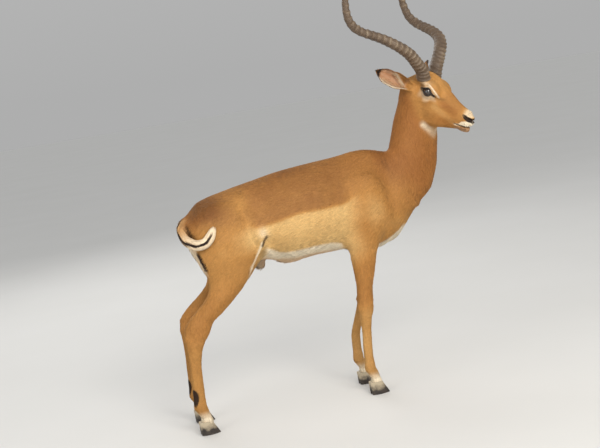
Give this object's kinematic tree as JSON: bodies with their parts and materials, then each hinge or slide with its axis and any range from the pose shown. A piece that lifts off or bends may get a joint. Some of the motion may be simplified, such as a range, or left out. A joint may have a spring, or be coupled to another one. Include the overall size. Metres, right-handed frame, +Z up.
{
  "type": "impala antelope",
  "caption": "Life-size standing impala ram, still model: short red-brown coat, pale belly, black-striped rump and tail, ringed lyre-shaped horns, head turned to its right.",
  "frame": {"origin": "on the ground under the centre of the animal's bounding box", "axes": "+Z up, +X the way the body faces, +Y the animal's left"},
  "size_m": [1.1562, 0.4048, 1.5734],
  "materials": {
    "coat": "short sleek hair, red-brown saddle, paler flanks and legs, white belly, throat and pasterns",
    "ear": "short hair, pale pinkish inside, black tip",
    "tail_hair": "long hair, white with a black line down the middle",
    "horn": "ridged dark grey-brown horn, paler on the worn ridges, smooth tips",
    "hoof": "dark horn, slightly scuffed",
    "eye": "wet dark brown"
  },
  "bodies": {
    "root": {"trunk": "coat", "neck": "coat", "head": "coat", "tail": "tail_hair", "horn_left": "horn", "ear_left": "ear", "eye_left": "eye", "foreleg_left_upper": "coat", "foreleg_left_lower": "coat", "hindleg_left_upper": "coat", "hindleg_left_lower": "coat", "hoof_fore_left": "hoof", "hoof_hind_left": "hoof", "horn_right": "horn", "ear_right": "ear", "eye_right": "eye", "foreleg_right_upper": "coat", "foreleg_right_lower": "coat", "hindleg_right_upper": "coat", "hindleg_right_lower": "coat", "hoof_fore_right": "hoof", "hoof_hind_right": "hoof"}
  },
  "joints": []
}
